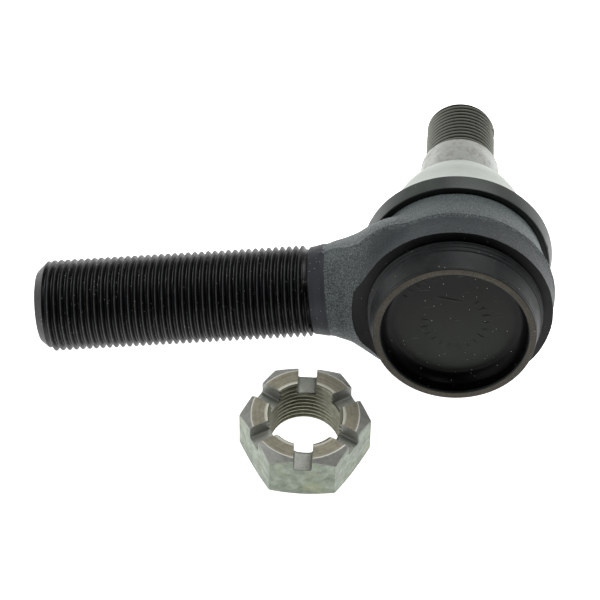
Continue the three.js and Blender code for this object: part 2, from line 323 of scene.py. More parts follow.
class Finish:
    """A procedural material, built up from a base by layers of colour, roughness and relief."""

    def __init__(self, name, roughness, metallic=0.0, drawn=True):
        self.material = bpy.data.materials.new(name)
        self.material.use_nodes = True
        self.tree = self.material.node_tree
        self.shader = self.tree.nodes["Principled BSDF"]
        self.normal = None
        self.set("Roughness", roughness)
        self.set("Metallic", metallic)
        if drawn:
            self.place = self.add("ShaderNodeAttribute", attribute_name="local").outputs["Vector"]
        else:
            metres = self.add("ShaderNodeTexCoord").outputs["Object"]
            self.place = self.scaled(metres, (1 / MM,) * 3)
        split = self.add("ShaderNodeSeparateXYZ")
        self.tree.links.new(self.place, split.inputs[0])
        self.x, self.y, self.z = split.outputs

    def add(self, kind, **values):
        node = self.tree.nodes.new(kind)
        for key, value in values.items():
            setattr(node, key, value)
        return node

    def feed(self, socket, value):
        if isinstance(value, bpy.types.NodeSocket):
            self.tree.links.new(value, socket)
        else:
            socket.default_value = value

    def set(self, name, value):
        self.feed(self.shader.inputs[name], value)

    def scaled(self, vector, factors):
        node = self.add("ShaderNodeVectorMath", operation="MULTIPLY")
        self.feed(node.inputs[0], vector)
        node.inputs[1].default_value = factors
        return node.outputs[0]

    def math(self, operation, first, second=0.0):
        node = self.add("ShaderNodeMath", operation=operation)
        self.feed(node.inputs[0], first)
        self.feed(node.inputs[1], second)
        return node.outputs[0]

    def noise(self, size, detail=4.0, rough=0.55, stretch=(1, 1, 1)):
        """Soft noise whose blotches are about size millimetres across."""
        node = self.add("ShaderNodeTexNoise")
        self.feed(node.inputs["Vector"], self.scaled(self.place, stretch))
        node.inputs["Scale"].default_value = 1 / size
        node.inputs["Detail"].default_value = detail
        node.inputs["Roughness"].default_value = rough
        return node.outputs["Fac"]

    def cells(self, size, stretch=(1, 1, 1)):
        """Distance to scattered points, about size millimetres apart."""
        node = self.add("ShaderNodeTexVoronoi")
        self.feed(node.inputs["Vector"], self.scaled(self.place, stretch))
        node.inputs["Scale"].default_value = 1 / size
        return node.outputs["Distance"]

    def range(self, value, low, high, to_low=0.0, to_high=1.0):
        node = self.add("ShaderNodeMapRange")
        for socket, given in zip(node.inputs, (value, low, high, to_low, to_high)):
            self.feed(socket, given)
        return node.outputs[0]

    def mix(self, factor, first, second):
        node = self.add("ShaderNodeMix", data_type="RGBA")
        self.feed(node.inputs[0], factor)
        self.feed(node.inputs[6], first)
        self.feed(node.inputs[7], second)
        return node.outputs[2]

    def radius(self, first, second):
        squares = self.math("ADD", self.math("MULTIPLY", first, first), self.math("MULTIPLY", second, second))
        return self.math("SQRT", squares)

    def bump(self, height, depth):
        """Adds relief whose full height is depth millimetres."""
        node = self.add("ShaderNodeBump")
        node.inputs["Distance"].default_value = depth * MM
        self.feed(node.inputs["Height"], height)
        if self.normal:
            self.feed(node.inputs["Normal"], self.normal)
        self.normal = node.outputs[0]
        self.set("Normal", self.normal)

    def soft_edges(self, radius):
        """Rounds the look of sharp edges, and returns how near an edge a point is."""
        bevel = self.add("ShaderNodeBevel", samples=4)
        bevel.inputs["Radius"].default_value = radius * MM
        geometry = self.add("ShaderNodeNewGeometry")
        dot = self.add("ShaderNodeVectorMath", operation="DOT_PRODUCT")
        self.feed(dot.inputs[0], bevel.outputs[0])
        self.feed(dot.inputs[1], geometry.outputs["True Normal"])
        self.normal = bevel.outputs[0]
        self.set("Normal", self.normal)
        return self.range(dot.outputs["Value"], 0.995, 0.8)

    def specks(self, size, threshold=0.1):
        """A mask of small scattered dust specks."""
        chance = self.range(self.noise(6.0, 2.0), 0.44, 0.52)
        return self.math("MULTIPLY", self.range(self.cells(size), threshold, threshold * 0.6), chance)


def forged_black():
    """Shot-blasted forging under thin black phosphate: grey bloom on a dark, finely pitted skin, with painted
    light on the upper side above the parting line.
    """
    finish = Finish("forged_black", 0.55)
    grain = finish.noise(0.45, 5.0, 0.7)
    blotch = finish.noise(9.0, 3.0)
    color = finish.mix(finish.range(blotch, 0.35, 0.7), tone(44, 49, 51), tone(58, 64, 65))
    # Painted light: the upper side, above the parting line, is lightened as if lit from above.
    painted_top_light = finish.range(finish.z, PARTING + 0.3, PARTING + 4, 0.0, 0.5)
    color = finish.mix(painted_top_light, color, tone(84, 93, 94))
    color = finish.mix(finish.range(grain, 0.44, 0.7), color, tone(122, 132, 131))
    smooth = finish.range(finish.z, PARTING - 0.8, PARTING - 1.6)
    smooth = finish.math("MULTIPLY", smooth, finish.range(finish.x, -30, -22))
    color = finish.mix(finish.math("MULTIPLY", smooth, 0.85), color, tone(50, 55, 58))
    color = finish.mix(finish.specks(2.2, 0.07), color, tone(165, 165, 152))
    finish.set("Base Color", color)
    finish.set("Roughness", finish.range(grain, 0.3, 0.7, 0.66, 0.48))
    finish.bump(finish.noise(0.6, 4.0, 0.7), 0.32)
    finish.bump(finish.noise(2.4, 3.0), 0.25)
    return finish.material


def turned_black():
    """Machined face under black oxide, with fine rings from the lathe."""
    finish = Finish("turned_black", 0.34)
    finish.set("Specular IOR Level", 0.2)
    ring = finish.radius(finish.x, finish.y)
    groove = finish.math("SINE", finish.math("MULTIPLY", ring, 2 * math.pi / 0.22))
    blotch = finish.noise(5.0, 4.0)
    color = finish.mix(finish.range(blotch, 0.3, 0.7), tone(7, 9, 9), tone(15, 17, 16))
    finish.set("Base Color", finish.mix(finish.specks(1.8, 0.07), color, tone(150, 150, 140)))
    finish.set("Roughness", finish.range(blotch, 0.3, 0.7, 0.3, 0.45))
    finish.bump(groove, 0.006)
    return finish.material


def sleeve_black():
    """The rolled-in sleeve: dark satin wall, bare brownish metal where the tool rubbed the rim."""
    finish = Finish("sleeve_black", 0.4)
    finish.set("Specular IOR Level", 0.3)
    blotch = finish.noise(3.5, 4.0)
    grain = finish.noise(0.35, 4.0, 0.7)
    rub = finish.noise(2.2, 4.0, 0.6)
    ring = finish.radius(finish.x, finish.y)
    color = finish.mix(finish.range(blotch, 0.3, 0.7), tone(24, 27, 28), tone(40, 43, 43))
    face = finish.range(finish.z, RIM + 0.3, RIM + 0.1)
    band = finish.math("MULTIPLY", finish.range(ring, LIP_BORE + 0.1, LIP_BORE + 0.5),
                       finish.range(ring, RIM_RADIUS - 0.15, RIM_RADIUS - 0.45))
    worn = finish.math("MULTIPLY", finish.math("MULTIPLY", face, band), finish.range(rub, 0.2, 0.5, 0.45, 1))
    color = finish.mix(worn, color, finish.mix(finish.range(grain, 0.35, 0.65), tone(46, 44, 38),
                                               tone(84, 79, 68)))
    finish.set("Base Color", finish.mix(finish.specks(1.9, 0.08), color, tone(170, 165, 150)))
    finish.set("Roughness", finish.range(blotch, 0.3, 0.7, 0.44, 0.6))
    finish.set("Metallic", finish.math("MULTIPLY", worn, 0.4))
    finish.bump(grain, 0.03)
    return finish.material


def shank_black():
    """Black oxide thread: near-black flanks, crests rubbed to dark grey, dust in the grooves."""
    finish = Finish("shank_black", 0.32)
    finish.set("Specular IOR Level", 0.35)
    ring = finish.radius(finish.y, finish.z)
    rub = finish.noise(2.2, 4.0, 0.6)
    crest = finish.math("MULTIPLY", finish.range(ring, SHANK_CREST - 0.12, SHANK_CREST - 0.01),
                        finish.range(rub, 0.2, 0.6, 0.5, 1))
    color = finish.mix(crest, tone(6, 8, 8), tone(66, 69, 70))
    neck = finish.range(finish.x, -SHANK_THREAD_START - 0.3, -SHANK_THREAD_START + 0.3)
    color = finish.mix(neck, color, tone(50, 52, 57))
    finish.set("Base Color", finish.mix(finish.specks(1.2, 0.13), color, tone(165, 163, 150)))
    flank_gloss = finish.range(rub, 0.3, 0.7, 0.34, 0.5)
    finish.set("Roughness", finish.math("ADD", flank_gloss, finish.math("MULTIPLY", neck, 0.12)))
    finish.bump(finish.noise(0.5, 3.0), 0.015)
    return finish.material


def stud_steel():
    """Ground taper with brown storage stains, and a dark phosphated thread with grey crests."""
    finish = Finish("stud_steel", 0.4, 0.75)
    ring = finish.radius(finish.x, finish.y)
    stain = finish.noise(3.2, 6.0, 0.65)
    fine = finish.noise(0.8, 4.0, 0.6)
    ground = finish.mix(finish.range(stain, 0.48, 0.66), tone(168, 171, 166), tone(148, 146, 139))
    ground = finish.mix(finish.range(fine, 0.6, 0.78), ground, tone(124, 118, 108))
    crest = finish.range(ring, STUD_ROOT + 0.5, STUD_CREST - 0.12)
    thread = finish.mix(crest, tone(16, 19, 14), tone(134, 137, 126))
    threaded_part = finish.range(finish.z, TAPER_END + 0.1, TAPER_END + 0.4)
    finish.set("Base Color", finish.mix(threaded_part, ground, thread))
    finish.set("Metallic", finish.range(threaded_part, 0, 1, 0.3, 0.35))
    finish.set("Roughness", finish.range(stain, 0.35, 0.7, 0.38, 0.55))
    scratch = finish.noise(0.35, 2.0, 0.5, (0.15, 0.15, 1.6))
    finish.bump(scratch, 0.01)
    return finish.material


def cover_black():
    """Pressed cover under thin satin black, with a painted reflection lightening one side, painted shade in its
    outer corner, and fine scratches.
    """
    finish = Finish("cover_black", 0.36)
    finish.set("Specular IOR Level", 0.14)
    blotch = finish.noise(7.0, 5.0, 0.6)
    ring = finish.radius(finish.x, finish.y)
    color = finish.mix(finish.range(blotch, 0.35, 0.7), tone(20, 22, 18), tone(30, 33, 28))
    # Painted reflection: the face is lightened towards +Y, as if it mirrored the bright bench below.
    bloom_and_painted_reflection = finish.math("MULTIPLY", finish.range(finish.y, -12, 20), finish.range(ring, 19.0, 17.0))
    color = finish.mix(bloom_and_painted_reflection, color, tone(52, 56, 50))
    scuff = finish.noise(0.8, 2.0, 0.5, (0.1, 1, 1))
    color = finish.mix(finish.range(scuff, 0.7, 0.8), color, tone(74, 76, 68))
    # Painted shade: the face darkens towards the dish's outer corner, where the recess lies in shade.
    color = finish.mix(finish.range(ring, 18.4, 20.4), color, tone(6, 8, 6))
    finish.set("Base Color", finish.mix(finish.specks(1.7, 0.09), color, tone(185, 182, 168)))
    finish.set("Roughness", finish.range(blotch, 0.3, 0.7, 0.32, 0.46))
    finish.bump(finish.noise(0.6, 3.0), 0.02)
    return finish.material


def band_black():
    """Moulded black band: even satin skin with faint flow marks and scuffs, and its underside painted near-black
    as shade.
    """
    finish = Finish("band_black", 0.45)
    flow = finish.noise(5.0, 4.0, 0.6, (1, 1, 0.3))
    scuff = finish.noise(0.7, 3.0)
    color = finish.mix(finish.range(flow, 0.3, 0.7), tone(56, 61, 58), tone(70, 76, 72))
    color = finish.mix(finish.range(scuff, 0.66, 0.78), color, tone(92, 97, 92))
    # Painted shade: the band's underside, over the dark gap above the housing, is painted near-black.
    color = finish.mix(finish.range(finish.z, 10.0, 9.7), color, tone(10, 12, 11))
    finish.set("Base Color", finish.mix(finish.specks(2.4, 0.06), color, tone(160, 160, 150)))
    finish.set("Roughness", finish.range(flow, 0.3, 0.7, 0.38, 0.52))
    finish.bump(scuff, 0.02)
    return finish.material


def pale_boot():
    """Unpigmented polyurethane: pale grey-green, a little translucent, its foot inside the band painted near-black
    as shade.
    """
    finish = Finish("pale_boot", 0.42)
    cloud = finish.noise(8.0, 3.0)
    color = finish.mix(finish.range(cloud, 0.3, 0.7), tone(160, 168, 158), tone(178, 186, 176))
    grime = finish.range(finish.noise(2.2, 5.0, 0.6), 0.6, 0.8)
    color = finish.mix(finish.math("MULTIPLY", grime, 0.35), color, tone(130, 132, 120))
    # Painted shade: the foot, down in the gap under the band, is painted near-black and made opaque.
    painted_shade_foot = finish.range(finish.z, 14.6, 14.3)
    finish.set("Base Color", finish.mix(painted_shade_foot, color, tone(12, 14, 12)))
    finish.set("Roughness", finish.range(cloud, 0.3, 0.7, 0.36, 0.5))
    finish.set("Subsurface Weight", finish.range(painted_shade_foot, 0, 1, 0.25, 0))
    finish.set("Subsurface Radius", (1.0, 1.0, 0.8))
    finish.set("Subsurface Scale", 1.2 * MM)
    finish.bump(finish.noise(0.8, 3.0), 0.015)
    finish.bump(finish.noise(5.0, 2.0), 0.08)
    return finish.material


def nut_steel():
    """Pale phosphate on the flats and slots: mottled grey-green, yellow patches and dark pores."""
    finish = Finish("nut_steel", 0.42, 0.4)
    edge = finish.soft_edges(0.6)
    mottle = finish.noise(2.6, 6.0, 0.65)
    patch = finish.noise(6.0, 3.0)
    pore = finish.noise(0.4, 3.0, 0.6)
    color = finish.mix(finish.range(mottle, 0.35, 0.68), tone(134, 144, 130), tone(96, 104, 91))
    color = finish.mix(finish.range(patch, 0.5, 0.72, 0.0, 0.55), color, tone(130, 135, 92))
    machined = finish.range(finish.z, NUT_HEIGHT - NUT_SLOT_DEPTH - 0.4, NUT_HEIGHT - NUT_SLOT_DEPTH + 0.2)
    inside = finish.range(finish.radius(finish.x, finish.y), NUT_FLATS / 2 + 0.2, NUT_FLATS / 2 - 0.2)
    machined = finish.math("MULTIPLY", machined, inside)
    color = finish.mix(machined, color, tone(152, 153, 146))
    color = finish.mix(finish.range(pore, 0.6, 0.72), color, tone(78, 80, 70))
    color = finish.mix(finish.math("MULTIPLY", edge, 0.45), color, tone(190, 194, 184))
    finish.set("Base Color", color)
    finish.set("Roughness", finish.range(mottle, 0.3, 0.7, 0.36, 0.5))
    finish.bump(pore, 0.03)
    return finish.material


def nut_turned():
    """Machined top of the nut: brownish, with fine rings, and worn bright at its edges."""
    finish = Finish("nut_turned", 0.38, 0.6)
    edge = finish.soft_edges(0.4)
    mottle = finish.noise(1.8, 5.0, 0.6)
    pore = finish.noise(0.4, 3.0, 0.6)
    ring = finish.radius(finish.x, finish.y)
    streak = finish.math("SINE", finish.math("MULTIPLY", ring, 2 * math.pi / 1.3))
    color = finish.mix(finish.range(mottle, 0.3, 0.7), tone(122, 118, 102), tone(98, 95, 82))
    color = finish.mix(finish.range(streak, 0.2, 1.0, 0.0, 0.18), color, tone(140, 138, 126))
    color = finish.mix(finish.range(pore, 0.62, 0.74), color, tone(72, 68, 58))
    bore_edge = finish.range(ring, NUT_CREST + 1.0, NUT_CREST + 0.3)
    color = finish.mix(bore_edge, color, tone(164, 164, 152))
    bevel_edge = finish.range(ring, NUT_FACE_RADIUS - 0.45, NUT_FACE_RADIUS)
    color = finish.mix(bevel_edge, color, tone(206, 206, 196))
    color = finish.mix(finish.math("MULTIPLY", edge, 0.7), color, tone(200, 200, 190))
    finish.set("Base Color", color)
    finish.bump(finish.math("SINE", finish.math("MULTIPLY", ring, 2 * math.pi / 0.3)), 0.008)
    return finish.material


def nut_bevel():
    """Bevels of the nut: dark oily steel, lighter where it was handled."""
    finish = Finish("nut_bevel", 0.34, 0.3)
    edge = finish.soft_edges(0.5)
    mottle = finish.noise(1.6, 5.0, 0.6)
    color = finish.mix(finish.range(mottle, 0.3, 0.7), tone(148, 149, 143), tone(176, 177, 170))
    finish.set("Base Color", finish.mix(finish.math("MULTIPLY", edge, 0.8), color, tone(206, 207, 200)))
    finish.set("Roughness", finish.range(mottle, 0.3, 0.7, 0.28, 0.44))
    finish.bump(finish.noise(0.5, 3.0), 0.015)
    return finish.material


def nut_thread():
    """Internal thread: yellowish crests over roots darkened as painted shade."""
    finish = Finish("nut_thread", 0.34, 0.4)
    ring = finish.radius(finish.x, finish.y)
    mottle = finish.noise(1.4, 5.0, 0.6)
    metal = finish.mix(finish.range(mottle, 0.3, 0.7), tone(176, 176, 156), tone(138, 138, 120))
    # Painted shade: the roots, deepest in the nut, are darkened.
    root = finish.range(ring, NUT_CREST - 0.5, NUT_CREST - 0.1)
    finish.set("Base Color", finish.mix(root, metal, tone(48, 48, 38)))
    finish.set("Roughness", finish.range(mottle, 0.3, 0.7, 0.28, 0.42))
    finish.bump(finish.noise(0.5, 3.0), 0.015)
    return finish.material


def hidden_metal(name, light, dark, roughness):
    """Machined inner parts of the joint, under a film of grease."""
    finish = Finish(name, roughness, 0.85, drawn=False)
    mottle = finish.noise(3.0, 5.0, 0.6)
    finish.set("Base Color", finish.mix(finish.range(mottle, 0.3, 0.7), light, dark))
    finish.set("Roughness", finish.range(mottle, 0.3, 0.7, roughness - 0.08, roughness + 0.1))
    finish.bump(finish.noise(0.6, 3.0), 0.015)
    return finish.material


def seal_rubber():
    finish = Finish("seal_rubber", 0.7, 0.0, drawn=False)
    bloom_and_painted_reflection = finish.noise(4.0, 4.0)
    finish.set("Base Color", finish.mix(finish.range(bloom_and_painted_reflection, 0.3, 0.7), tone(24, 24, 24), tone(44, 44, 42)))
    finish.bump(finish.noise(0.5, 3.0), 0.03)
    return finish.material


# ---------------------------------------------------------------- housing


def neck_grid(sections, segments=96, steps=5):
    """An oval skin through (distance along -X, half width, height of widest point, top, bottom)."""
    distance, half_width, widest, top, bottom = np.array(smooth_curve(sections, steps)).T[:, :, None]
    angle = np.linspace(0, 2 * math.pi, segments, endpoint=False)
    reach = np.where(np.sin(angle) > 0, top - widest, widest - bottom)
    grid = np.stack([
        -distance * np.ones(segments),
        half_width * np.cos(angle),
        widest + reach * np.sin(angle),
    ], axis=2)
    ends = [np.zeros((1, segments, 3)), np.zeros((1, segments, 3))]
    ends[0][:, :, 0] = grid[0, 0, 0]
    ends[1][:, :, 0] = grid[-1, 0, 0]
    return np.concatenate([ends[0], grid, ends[1]])


def parting_height(x):
    """The die parting line: level round the eye, climbing to the neck's middle plane."""
    share = np.clip((-x - 26) / 12, 0, 1)
    return PARTING * (1 - share * share * (3 - 2 * share))


def forge_skin(piece):
    """Adds the parting ridge and the uneven skin of a forging."""
    piece.data.update()
    count = len(piece.data.vertices)
    normals = np.empty(count * 3)
    piece.data.vertices.foreach_get("normal", normals)
    normals = normals.reshape(-1, 3)
    points = points_of(piece)
    above = points[:, 2] - parting_height(points[:, 0])
    ridge = 0.55 * np.exp(-(above / 0.65) ** 2) * np.clip(1.4 - 1.6 * np.abs(normals[:, 2]), 0, 1)
    waves = [0.10 * noise.noise(Vector(p) / 5) + 0.045 * noise.noise(Vector(p) / 1.3) for p in points]
    move_points(piece, points + normals * (ridge + np.array(waves))[:, None])


def forging():
    """The eye and its neck, blended together, before the lathe touches them."""
    outline = rounded([
        (0, RIM), (EYE_RADIUS - 1.2, RIM), (EYE_RADIUS - 0.25, SHOULDER), (EYE_RADIUS, PARTING),
        (EYE_TOP_RADIUS + 0.3, EYE_TOP - 1), (EYE_TOP_RADIUS, EYE_TOP + 2), (0, EYE_TOP + 2),
    ], 1.2)
    eye = turned("housing", outline)
    neck = skin("neck", neck_grid([
        (41.0, 14.2, 0.0, 14.2, -14.2), (38.6, 14.4, -0.2, 14.4, -14.5),
        (36.6, 15.4, -0.6, 14.9, -15.0), (33.0, 17.0, -1.6, 14.8, -15.3),
        (28.6, 20.1, -3.5, 14.5, -17.2), (23.5, 24.2, -5.0, 14.2, -18.0),
        (17.0, 27.0, -5.6, 13.8, -18.2), (8.0, 27.4, -5.8, 13.5, -18.2),
    ]))
    combine(eye, neck, "UNION")
    remesh = eye.modifiers.new("remesh", "REMESH")
    remesh.mode = "VOXEL"
    remesh.voxel_size = 0.5
    relax = eye.modifiers.new("relax", "SMOOTH")
    relax.factor = 0.5
    relax.iterations = 14
    applied(eye)
    forge_skin(eye)
    return eye


def lathe_cuts():
    """What the lathe takes off below the shoulder and above the eye."""
    below = turned("below", rounded([(0, -45), (SHOULDER_RADIUS, -45), (SHOULDER_RADIUS, SHOULDER),
                                     (0, SHOULDER)], 0.2))
    clear = EYE_RADIUS + 2
    above = turned("above", rounded([(0, EYE_TOP), (clear, EYE_TOP), (clear + 1, 40), (0, 40)], 0.8))
    return below, above


def sleeve():
    """The thin sleeve with its rolled-in lip."""
    outer = rounded([
        (LIP_BORE, RIM + 0.9), (LIP_BORE, RIM + 0.3), (LIP_BORE + 0.25, RIM),
        (RIM_RADIUS - 0.25, RIM), (RIM_RADIUS, RIM + 0.3), (RIM_RADIUS - 0.1, RIM + 0.75),
        (RIM_RADIUS + 0.15, RIM + 1.3), (SLEEVE_ROOT - 0.9, -19.0),
        (SLEEVE_ROOT - 0.45, -18.7), (SLEEVE_ROOT - 0.45, -18.3), (SLEEVE_ROOT - 0.75, -18.0),
        (SLEEVE_ROOT - 0.7, -17.4), (SLEEVE_ROOT - 0.25, -17.1), (SLEEVE_ROOT - 0.25, -16.7),
        (SLEEVE_ROOT - 0.5, -16.4), (SLEEVE_ROOT - 0.5, -15.9), (SLEEVE_ROOT, -15.6),
        (SLEEVE_ROOT, -15.2), (SLEEVE_ROOT - 0.4, -14.9), (SLEEVE_ROOT - 0.4, SHOULDER + 2),
    ], 0.16, 3)
    inner = [(SLEEVE_BORE, SHOULDER + 2), (SLEEVE_BORE, RIM + 1.15), (LIP_BORE + 0.2, RIM + 1.1)]
    return turned("sleeve", outer + inner, 192, ring=True)


def boot_spigot():
    outline = rounded([
        (SOCKET_MOUTH, EYE_TOP - 4), (BOOT_SEAT, EYE_TOP - 4), (BOOT_SEAT, BOOT_SEAT_TOP),
        (SOCKET_MOUTH + 1.0, BOOT_SEAT_TOP), (SOCKET_MOUTH, BOOT_SEAT_TOP - 1),
    ], 0.4)
    return turned("spigot", outline, ring=True)


def housing_bore():
    """The bore, from the open rim up through the socket to the mouth that keeps the ball in."""
    socket = 20.8
    cup_bottom = -14.5
    cone_top = BALL_HEIGHT + 8.8
    return turned("bore", [
        (0, RIM - 20), (SLEEVE_BORE, RIM - 20), (SLEEVE_BORE, cup_bottom), (socket, cup_bottom),
        (socket, BALL_HEIGHT + 3.7), (socket - 3.5, cone_top), (SOCKET_MOUTH, cone_top),
        (SOCKET_MOUTH, EYE_TOP + 20), (0, EYE_TOP + 20),
    ])


def shank_thread():
    """The left-hand thread with its chamfered end."""
    slope = (SHANK_CREST - SHANK_TIP) / SHANK_CHAMFER

    def envelope(height):
        runout = SHANK_THREAD_START + 0.3 * SHANK_PITCH
        undercut = np.where(height < runout, SHANK_ROOT - 0.1, SHANK_CREST + 1)
        return np.minimum(undercut, SHANK_TIP + slope * (SHANK_LENGTH - height))

    return threaded("thread", SHANK_CREST, SHANK_ROOT, SHANK_PITCH, SHANK_THREAD_START - 4, SHANK_LENGTH,
                    envelope, hand=-1)


def turned_neck():
    """The plain turned length between the thread's undercut and the forging."""
    outline = rounded([
        (0, 30), (13.6, 30), (14.25, 37.5), (14.3, 40.5), (13.75, SHANK_THREAD_START - 1.8),
        (13.6, SHANK_THREAD_START - 0.4), (12.8, SHANK_THREAD_START + 0.2), (0, SHANK_THREAD_START + 0.2),
    ], 0.5)
    return turned("neck", outline)


def housing():
    piece = forging()
    for tool in lathe_cuts():
        combine(piece, tool, "DIFFERENCE")
    combine(piece, boot_spigot(), "UNION")
    combine(piece, housing_bore(), "DIFFERENCE")
    combine(piece, sleeve(), "UNION")
    combine(piece, turn_to_shank(turned_neck()), "UNION")
    combine(piece, turn_to_shank(shank_thread()), "UNION")
    place(piece, JOINT, [forged_black(), turned_black(), sleeve_black(), shank_black()], 30)
    paint_housing(piece)
    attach(piece, "housing")
    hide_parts("housing")
    return piece


def paint_housing(piece):
    """Gives each face the finish of the tool that made it, by where it is."""
    to_local = JOINT.inverted()
    for face in piece.data.polygons:
        x, y, z = to_local @ face.center
        ring = math.hypot(x, y)
        if x < -39.4 and math.hypot(y, z) < 14.6:
            face.material_index = 3
        elif z < SHOULDER + 0.05 and ring < SLEEVE_ROOT + 0.15:
            face.material_index = 2
        elif ring < SHOULDER_RADIUS + 0.1 and (abs(z - SHOULDER) < 0.1 or z > EYE_TOP - 0.1):
            face.material_index = 1
        elif ring < SLEEVE_BORE + 0.2 and z < EYE_TOP:
            face.material_index = 1


# ---------------------------------------------------------------- ball stud


def ball_stud():
    flat_angle = math.pi - math.asin(5 / BALL_RADIUS)
    neck_angle = math.asin((STUD_NECK + 0.9) / BALL_RADIUS)
    flat = BALL_HEIGHT + BALL_RADIUS * math.cos(flat_angle)
    body = turned("ball_stud", (
        [(0, flat)]
        + arc(BALL_RADIUS, BALL_HEIGHT, flat_angle, neck_angle, 40)
        + smooth_curve([
            (STUD_NECK + 0.2, 18.0), (STUD_NECK, 19.8), (STUD_NECK, 25.5), (STUD_NECK + 1.2, 29.8),
            (TAPER_START_RADIUS - 1.1, 33.9), (TAPER_START_RADIUS - 0.1, 35.2),
        ], 4)
        + rounded([
            (TAPER_START_RADIUS, TAPER_START), (TAPER_END_RADIUS, TAPER_END),
            (STUD_ROOT, TAPER_END + 0.5), (STUD_ROOT - 0.3, STUD_THREAD_START + 1),
            (0, STUD_THREAD_START + 1),
        ], 0.3)
    ))
    chamfer_slope = 0.85

    def envelope(height):
        run_in = np.where(height < STUD_THREAD_START - 0.3, STUD_ROOT - 0.2, STUD_CREST + 1)
        return np.minimum(run_in, STUD_TIP_RADIUS + chamfer_slope * (STUD_LENGTH - height))

    thread = threaded("thread", STUD_CREST, STUD_ROOT, STUD_PITCH, TAPER_END - 2, STUD_LENGTH, envelope)
    combine(body, thread, "UNION")
    hole = turned("hole", [(0, -20), (PIN_HOLE_RADIUS, -20), (PIN_HOLE_RADIUS, 20), (0, 20)], 48)
    hole.data.transform(Matrix.Rotation(math.pi / 2, 4, "Y"))
    hole.data.transform(Matrix.Translation((0, 0, STUD_LENGTH - PIN_HOLE_FROM_TIP)))
    combine(body, hole, "DIFFERENCE")
    place(body, JOINT, [stud_steel()])
    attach(body, "ball_stud")
    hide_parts("ball_stud")


# ---------------------------------------------------------------- cover plate


def stroke(x, y, middle, tilt, half_length):
    """A raised stroke: 1 on its ridge, falling to 0 about a quarter of a millimetre beside it."""
    along = (x - middle[0]) * math.cos(tilt) + (y - middle[1]) * math.sin(tilt)
    across = (y - middle[1]) * math.cos(tilt) - (x - middle[0]) * math.sin(tilt)
    return np.exp(-(across / 0.24) ** 4) * np.exp(-(along / half_length) ** 4)


def stamped_marks(radius, angle):
    """Raised height in millimetres of the generic stamping: short strokes on two rings and a line."""
    x, y = radius * np.cos(angle), radius * np.sin(angle)
    height = stroke(x, y, (-1.0, -8.6), math.radians(18), 3.6)
    for ring, count, first, last in ((9.6, 15, -42, 188), (17.6, 5, -143, -108)):
        for k, at in enumerate(np.linspace(math.radians(first), math.radians(last), count)):
            for side in (-0.35, 0.35):
                middle = ((ring + side) * math.cos(at), (ring + side) * math.sin(at))
                tilt = at + math.radians(50 * k * k % 180) * (side > 0)
                height = np.maximum(height, stroke(x, y, middle, tilt, 0.5 + 0.25 * (k % 3)))
    return 0.15 * height


def cover_plate():
    """Pressed dish with a soft inner corner and raised marks on its face."""
    face = np.concatenate([np.linspace(0.01, 19.4, 84), [19.9, 20.4, 20.9, 21.3, 21.6, 21.8, 21.95, 22.0]])
    rise = np.where(face > 18.6, -2.6 * (np.clip(face - 18.6, 0, None) / 3.4) ** 2.6, 0.0)
    lip = RIM + 1.3
    tail_radius = [22.05, 22.2, COVER_RADIUS, COVER_RADIUS, 0.01]
    tail_height = [COVER_FACE - 4.0, lip, lip, COVER_FACE + COVER_THICKNESS, COVER_FACE + COVER_THICKNESS]
    radius = np.concatenate([face, tail_radius])
    height = np.concatenate([COVER_FACE + rise, tail_height])
    segments = 360
    angle = np.linspace(0, 2 * math.pi, segments, endpoint=False)
    radii = np.repeat(radius[:, None], segments, axis=1)
    angles = np.repeat(angle[None, :], len(radius), axis=0)
    heights = np.repeat(height[:, None], segments, axis=1)
    heights[:len(face)] -= stamped_marks(radii[:len(face)], angles[:len(face)])
    grid = np.stack([radii * np.cos(angles), radii * np.sin(angles), heights], axis=2)
    grid[0, :, :2] = 0
    grid[-1, :, :2] = 0
    piece = skin("cover_plate", grid)
    place(piece, JOINT, [cover_black()], 40)
    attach(piece, "housing")
    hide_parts("cover_plate")


# ---------------------------------------------------------------- boot and its rings


def dust_boot():
    """A smooth bell that bends between housing and stud, over a straight foot inside the band."""
    foot_radius, foot_bottom, foot_top = 27.97, 9.75, 14.3
    outside = smooth_curve([
        (27.3, 14.8), (25.4, 18.9), (23.4, 24.2), (21.9, 29.4), (21.2, 32.2), (20.5, 34.6),
        (19.4, 37.4), (18.0, 40.0), (16.5, 42.4), (15.1, 44.4), (14.3, 45.2),
    ], 6)
    inside = smooth_curve([
        (15.6, 42.0), (16.3, 40.2), (17.9, 37.0), (19.0, 33.6), (20.0, 30.0), (21.5, 24.8), (23.3, 19.6),
        (24.0, 15.0),
    ], 4)
    lip = [(14.0, 45.15), (13.9, 44.8), (14.05, 42.2), (14.3, 42.0)]
    painted_shade_foot = [(foot_radius, foot_bottom), (foot_radius, foot_top)]
    outline = painted_shade_foot + outside + lip + inside + [(23.9, foot_bottom)]
    piece = turned("dust_boot", outline, 144, ring=True)
    place(piece, JOINT, [pale_boot()], 50)
    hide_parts("dust_boot")
    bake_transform(piece)


